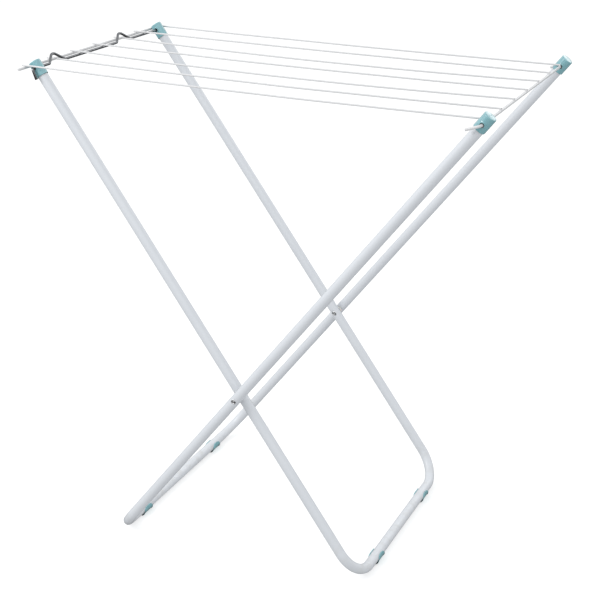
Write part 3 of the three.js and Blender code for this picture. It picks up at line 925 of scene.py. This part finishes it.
line_lift = grid_up * (RAIL_RADIUS + RUNNING_GAP + LINE_RADIUS)
for index, y in enumerate(line_places):
    start = hinge_axis + line_lift - grid_along * RAIL_RADIUS / 2 + OUTWARD * y
    end = hook_centre + line_lift + grid_along * LINE_STUB + OUTWARD * y
    line = line_maker.make(
        f"drying_wire_{index + 1}", bpy.data.meshes.new("line"), start=start, end=end,
        sag=SLACK_MM[index] * MM, wander=WANDER, seed=11.3 * index, radius=LINE_RADIUS,
        sides=LINE_SIDES, material=coated_wire)
    bare_ends(line, [-grid_along, grid_along])
    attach(line, "line_grid")
    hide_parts(f"drying_line_{index + 1}")

# Where a line crosses a rail the weld is a small nugget, smoothed over by the coating.
NUGGET_LENGTH = 2.3 * MM
NUGGET_WIDTH = 2.1 * MM
NUGGET_HEIGHT = 1.15 * MM

weld_maker = Maker("weld nuggets", length="Float", width="Float", height="Float", tilt="Float",
                   material="Material")
given = weld_maker.given
nugget = weld_maker.add("GeometryNodeMeshUVSphere", {},
                        {"Segments": 20, "Rings": 12, "Radius": 1.0})
size = weld_maker.add("ShaderNodeCombineXYZ", {}, {
    "X": given["length"], "Y": given["width"], "Z": given["height"]})
turn = weld_maker.add("ShaderNodeCombineXYZ", {}, {"Y": given["tilt"]})
weld_maker.end(weld_maker.add("GeometryNodeInstanceOnPoints", {}, {
    "Points": given["Geometry"], "Instance": nugget, "Rotation": turn, "Scale": size}))
contact = grid_up * (RAIL_RADIUS + RUNNING_GAP / 2)
crossings = [rail + contact + OUTWARD * y
             for rail in (hinge_axis, hook_centre) for y in line_places]
grid_tilt = math.atan2(grid_along.z, -grid_along.x)
welds = weld_maker.make("line_welds", wire_mesh("crossings", crossings), length=NUGGET_LENGTH,
                        width=NUGGET_WIDTH, height=NUGGET_HEIGHT, tilt=grid_tilt,
                        material=coated_wire)
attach(welds, "line_grid")

# ---- Studio --------------------------------------------------------------------------------------
# A wide pale floor that glows a little, so shadows on it stay faint, under a white sky that is
# darker from below. A broad soft lamp stands high on the left and a weaker one behind the rack.
FLOOR_RADIUS = 9.0
FLOOR_GLOW = 0.5
SKY_STRENGTH = 1.07
SHADE_FROM_BELOW = 0.25
GLOSS_FROM_BELOW = 0.66
LAMP_AIM = Vector((0, 0, 0.45))

floor_shape = bmesh.new()
bmesh.ops.create_circle(floor_shape, cap_ends=True, segments=96, radius=FLOOR_RADIUS)
floor_mesh = bpy.data.meshes.new("studio_floor")
floor_shape.to_mesh(floor_mesh)
floor_shape.free()
floor = bpy.data.objects.new("studio_floor", floor_mesh)
bpy.context.scene.collection.objects.link(floor)
floor_finish = Finish("white floor")
floor_tone = floor_finish.speckle(3, 2.0)
floor_mesh.materials.append(floor_finish.surface(
    Base_Color=floor_finish.blend(floor_tone, (0.54, 0.54, 0.54, 1), (0.55, 0.55, 0.55, 1)),
    Emission_Color=(1, 1, 1, 1),
    Emission_Strength=FLOOR_GLOW,
    Roughness=0.8 + floor_tone * 0.05,
    Specular_IOR_Level=0.1,
))
floor.visible_diffuse = False
floor.visible_glossy = False

world = bpy.data.worlds.new("studio")
world.use_nodes = True
world.node_tree.nodes.clear()
studio = Nodes(world.node_tree)
height = studio.parts(studio.add("ShaderNodeTexCoord", output="Generated"))[2]
in_view = studio.add("ShaderNodeLightPath", output="Is Camera Ray")
in_gloss = studio.add("ShaderNodeLightPath", output="Is Glossy Ray")
soft_shade = (1 - height.smooth(-0.3, 0.35)) * (1 - in_view) * SHADE_FROM_BELOW
gloss_shade = (1 - height.smooth(-0.1, 0.3)) * in_gloss * GLOSS_FROM_BELOW
glow = studio.add("ShaderNodeBackground", {}, {
    "Color": (0.975, 0.99, 1.0, 1),
    "Strength": SKY_STRENGTH - soft_shade - gloss_shade})
studio.add("ShaderNodeOutputWorld", {}, {"Surface": glow})
bpy.context.scene.world = world


def soft_lamp(name, place, size, power):
    """A white square or oblong lamp that is turned to the middle of the rack."""
    data = bpy.data.lights.new(name, "AREA")
    data.shape = "RECTANGLE"
    data.size, data.size_y = size
    data.energy = power
    lamp = bpy.data.objects.new(name, data)
    lamp.location = place
    lamp.rotation_mode = "QUATERNION"
    lamp.rotation_quaternion = (LAMP_AIM - Vector(place)).to_track_quat("-Z", "Y")
    bpy.context.scene.collection.objects.link(lamp)


soft_lamp("key", (-1.8, -1.9, 2.4), (1.2, 1.2), 34)
soft_lamp("back", (0.85, 2.7, 1.9), (1.4, 0.9), 5)

# ---- Camera --------------------------------------------------------------------------------------
# A long lens a little above the grid, in front of the rack and turned towards its hinged side.
CAMERA_AIM = Vector((-10.581, 20.484, 447.549)) * MM
CAMERA_DISTANCE = 2.58971
SENSOR_WIDTH = 36
LENS = 79.25886

azimuth, elevation, roll = math.radians(24.276), math.radians(21.193), math.radians(-0.268)
back = Vector((math.sin(azimuth) * math.cos(elevation),
               -math.cos(azimuth) * math.cos(elevation),
               math.sin(elevation)))
right = (-back).cross(Vector((0, 0, 1))).normalized()
up = right.cross(-back)
rolled_right = right * math.cos(roll) + up * math.sin(roll)
rolled_up = up * math.cos(roll) - right * math.sin(roll)
camera_data = bpy.data.cameras.new("camera")
camera_data.sensor_width = SENSOR_WIDTH
camera_data.lens = LENS
camera_data.dof.use_dof = False
camera_data.clip_end = 60
camera = bpy.data.objects.new("camera", camera_data)
pose = Matrix((rolled_right, rolled_up, back)).transposed().to_4x4()
pose.translation = CAMERA_AIM + back * CAMERA_DISTANCE
camera.matrix_world = pose
bpy.context.scene.collection.objects.link(camera)
bpy.context.scene.camera = camera
bpy.context.scene.view_settings.view_transform = "Standard"
